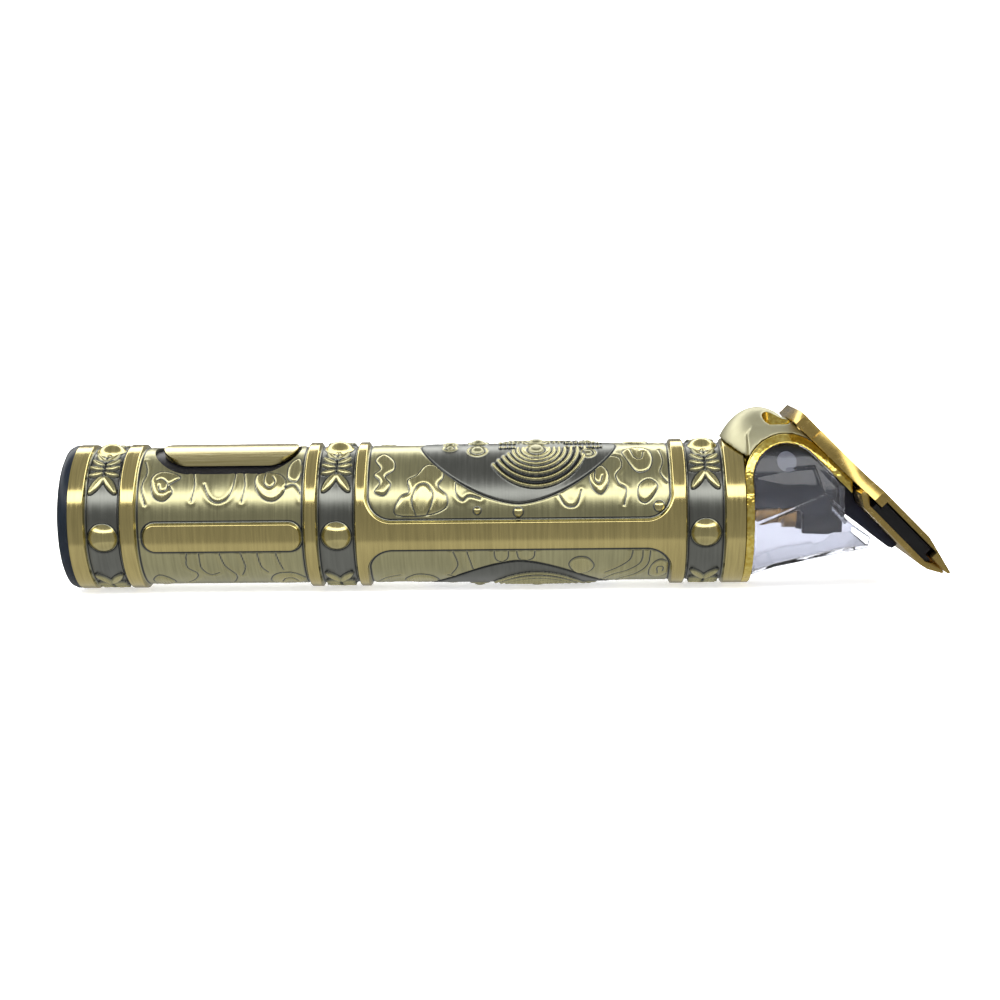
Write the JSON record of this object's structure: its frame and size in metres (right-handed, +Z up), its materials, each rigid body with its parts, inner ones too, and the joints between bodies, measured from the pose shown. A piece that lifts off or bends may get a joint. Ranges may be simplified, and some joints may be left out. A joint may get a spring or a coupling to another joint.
{
  "type": "hair clipper",
  "caption": "Cordless trimmer with a round cast handle, slide switch, domed head with a clear cover, and a slanted T-blade.",
  "frame": {"origin": "centre of the bounding box in X and Y, at its lowest point, so the trimmer lies on the plane Z = 0", "axes": "+X along the handle towards the blade, +Z up on the side of the blade's outer face and the switch, +Y across the blade"},
  "size_m": [0.1574, 0.04, 0.0327],
  "materials": {
    "antique_brass": "brushed antique brass plating with dark recesses",
    "knob_brass": "satin brass plating",
    "champagne": "satin champagne coating on metal",
    "polished_gold": "polished gold plating",
    "blade_gold": "ground steel with gold titanium coating",
    "steel": "plain steel",
    "nickel": "nickel strip",
    "black_plastic": "black moulded plastic",
    "slate_plastic": "dark slate moulded plastic",
    "grey_plastic": "light grey moulded plastic",
    "clear": "clear polycarbonate",
    "light_pipe": "clear light pipe",
    "board": "green circuit board",
    "cell_wrap": "shrink wrap on a lithium cell",
    "magnet": "sintered ferrite",
    "core": "stacked steel laminations",
    "copper": "copper segments",
    "bronze": "oil-filled bronze bush",
    "cam_brass": "turned brass"
  },
  "bodies": {
    "handle": {"handle_sleeve": "antique_brass", "switch_frame": "black_plastic", "slide_switch": "black_plastic", "tail_cap": "black_plastic", "usb_socket": "steel", "usb_tongue": "black_plastic", "charge_light": "light_pipe", "charge_board": "board", "inner_carrier": "black_plastic", "battery_cell": "cell_wrap", "cell_contact_rear": "nickel", "cell_contact_front": "nickel", "main_board": "board", "motor_can": "steel", "motor_mount": "slate_plastic", "motor_screws": "steel", "motor_end_cap": "black_plastic", "motor_magnets": "magnet", "front_bush": "bronze", "rear_bush": "bronze", "neck_housing": "champagne", "arch_trim": "polished_gold", "clear_cover": "clear", "blade_seat": "slate_plastic", "cover_pins": "grey_plastic", "fixed_blade": "blade_gold", "blade_screws": "blade_gold", "pressure_spring": "steel"},
    "rotor": {"motor_shaft": "steel", "rotor_core": "core", "commutator": "copper", "eccentric_cam": "cam_brass"},
    "cutter": {"moving_cutter": "blade_gold", "slide_insert": "black_plastic", "drive_follower": "black_plastic"},
    "switch": {"switch_knob": "knob_brass", "switch_slider": "black_plastic"}
  },
  "joints": [
    {"name": "motor_spin", "type": "hinge", "parent": "handle", "child": "rotor", "pos_m": [0, 0, 0.01368], "axis": [1, 0, 0], "continuous": true},
    {"name": "cutter_stroke", "type": "slide", "parent": "handle", "child": "cutter", "axis": [0, 1, 0], "range_m": [-0.0009, 0.0009]},
    {"name": "switch_slide", "type": "slide", "parent": "handle", "child": "switch", "axis": [1, 0, 0], "range_m": [-0.0015, 0]}
  ]
}
